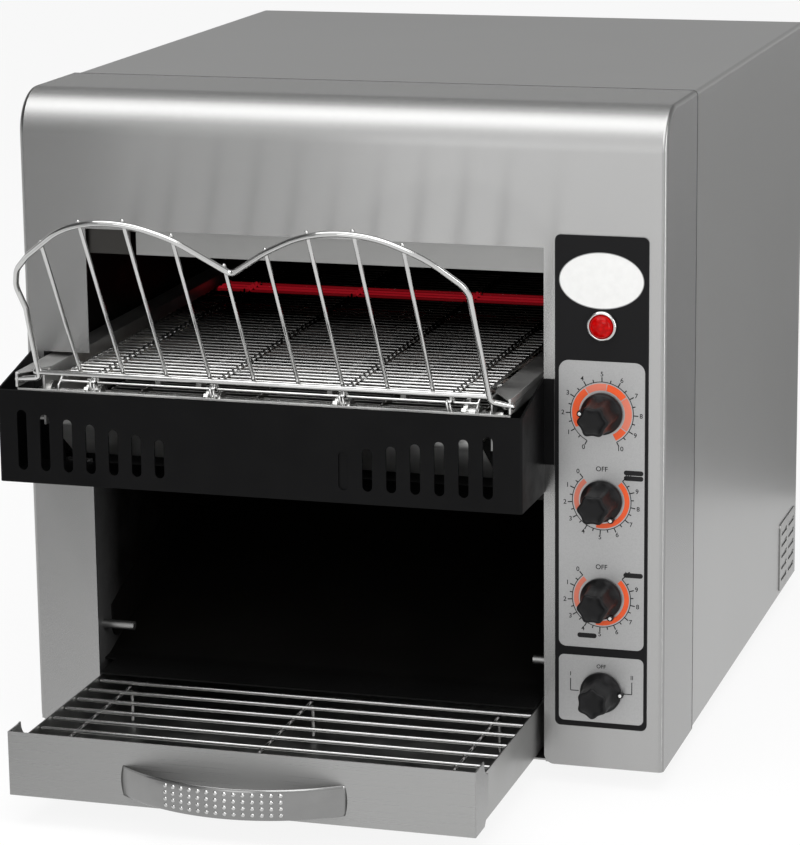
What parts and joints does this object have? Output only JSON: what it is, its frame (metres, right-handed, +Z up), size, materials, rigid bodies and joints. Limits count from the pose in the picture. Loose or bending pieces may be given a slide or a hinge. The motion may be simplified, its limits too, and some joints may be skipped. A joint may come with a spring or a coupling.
{
  "type": "conveyor toaster",
  "caption": "Countertop conveyor toaster: a wire belt runs through a brushed steel casing, with a folding wire toast guard, slotted front trough, pull-out tray and dial controls.",
  "frame": {"origin": "on the table, under the middle of the whole plan with the tray pulled out", "axes": "+Z up, the open front and the dials face -Y, +X to the right seen from the front"},
  "size_m": [0.368, 0.5846, 0.378],
  "materials": {
    "brushed_steel": "brushed satin",
    "plain_steel": "mill finish",
    "burnt_steel": "heat-darkened",
    "black_enamel": "satin black",
    "belt_wire": "heat-dulled wire",
    "chrome_wire": "polished wire",
    "shaft_steel": "machined",
    "quartz": "frosted quartz",
    "ceramic": "ceramic, matte",
    "rubber_foot": "matte",
    "panel_face": "satin, black frame",
    "lamp_chrome": "polished",
    "lamp_red": "clear red, glossy",
    "knob_black": "glossy",
    "spindle_metal": "turned",
    "control_case": "moulded",
    "motor_grey": "satin",
    "fan_black": "moulded",
    "gland_plastic": "moulded"
  },
  "bodies": {
    "casing": {"front_shell": "brushed_steel", "body_cover": "brushed_steel", "back_panel": "brushed_steel", "inner_wall_left": "burnt_steel", "inner_wall_right": "burnt_steel", "top_reflector": "burnt_steel", "chamber_floor": "burnt_steel", "rear_deflector": "burnt_steel", "discharge_chute": "burnt_steel", "base_pan": "plain_steel", "heat_baffle": "plain_steel", "chute_pins": "plain_steel", "conveyor_rail_left": "plain_steel", "conveyor_rail_right": "plain_steel", "rail_spacers": "plain_steel", "front_apron": "plain_steel", "tray_runners": "plain_steel", "belt_runners": "plain_steel", "motor_bracket": "plain_steel", "side_vent_plate": "plain_steel", "front_trough": "black_enamel", "wire_belt": "belt_wire", "drive_chain": "shaft_steel", "shaft_bushes": "shaft_steel", "case_screws": "shaft_steel", "top_heating_tubes": "quartz", "bottom_heating_tubes": "quartz", "tube_holders": "ceramic", "feet": "rubber_foot", "control_plate": "panel_face", "lamp_bezel": "lamp_chrome", "lamp_lens": "lamp_red", "speed_control": "control_case", "top_heat_control": "control_case", "bottom_heat_control": "control_case", "power_switch": "control_case", "terminal_block": "control_case", "gear_motor": "motor_grey", "fan_frame": "fan_black", "cord_gland": "gland_plastic"},
    "tray": {"tray_pan": "plain_steel", "tray_fascia": "brushed_steel", "tray_handle": "brushed_steel", "toast_rack": "chrome_wire"},
    "guard": {"wire_guard": "chrome_wire"},
    "speed_dial": {"speed_knob": "knob_black", "speed_spindle": "spindle_metal"},
    "top_heat_dial": {"top_heat_knob": "knob_black", "top_heat_spindle": "spindle_metal"},
    "bottom_heat_dial": {"bottom_heat_knob": "knob_black", "bottom_heat_spindle": "spindle_metal"},
    "power_dial": {"power_knob": "knob_black", "power_spindle": "spindle_metal"},
    "rear_drive": {"drive_shaft": "shaft_steel", "rear_sprockets": "shaft_steel", "drive_sprocket": "shaft_steel"},
    "front_idler": {"front_shaft": "shaft_steel", "front_sprockets": "shaft_steel"},
    "motor_output": {"motor_sprocket": "shaft_steel"},
    "fan_wheel": {"fan_rotor": "fan_black"}
  },
  "joints": [
    {"name": "tray_slide", "type": "slide", "parent": "casing", "child": "tray", "axis": [0, -1, 0], "range_m": [-0.126, 0.06]},
    {"name": "guard_fold", "type": "hinge", "parent": "casing", "child": "guard", "pos_m": [-0.03, -0.17625, 0.224], "axis": [-1, 0, 0], "range_deg": [0, 50]},
    {"name": "speed_turn", "type": "hinge", "parent": "casing", "child": "speed_dial", "pos_m": [0.1494, -0.13275, 0.213], "axis": [0, -1, 0], "range_deg": [-240, 60]},
    {"name": "top_heat_turn", "type": "hinge", "parent": "casing", "child": "top_heat_dial", "pos_m": [0.1494, -0.13275, 0.1645], "axis": [0, -1, 0], "range_deg": [-210, 120]},
    {"name": "bottom_heat_turn", "type": "hinge", "parent": "casing", "child": "bottom_heat_dial", "pos_m": [0.1494, -0.13275, 0.1096], "axis": [0, -1, 0], "range_deg": [-210, 120]},
    {"name": "power_turn", "type": "hinge", "parent": "casing", "child": "power_dial", "pos_m": [0.1494, -0.13275, 0.056], "axis": [0, -1, 0], "range_deg": [0, 180]},
    {"name": "drive_shaft_spin", "type": "hinge", "parent": "casing", "child": "rear_drive", "pos_m": [-0.03, 0.17465, 0.2127], "axis": [1, 0, 0], "continuous": true},
    {"name": "front_shaft_spin", "type": "hinge", "parent": "casing", "child": "front_idler", "pos_m": [-0.03, -0.15975, 0.2127], "axis": [1, 0, 0], "continuous": true},
    {"name": "motor_output_spin", "type": "hinge", "parent": "casing", "child": "motor_output", "pos_m": [0.1325, 0.19725, 0.14], "axis": [1, 0, 0], "continuous": true},
    {"name": "fan_spin", "type": "hinge", "parent": "casing", "child": "fan_wheel", "pos_m": [0.15, 0.27275, 0.082], "axis": [0, 1, 0], "continuous": true}
  ],
  "couplings": [
    {"joint": "front_shaft_spin", "follows": "drive_shaft_spin", "ratio": 1},
    {"joint": "motor_output_spin", "follows": "drive_shaft_spin", "ratio": 1.4444}
  ]
}
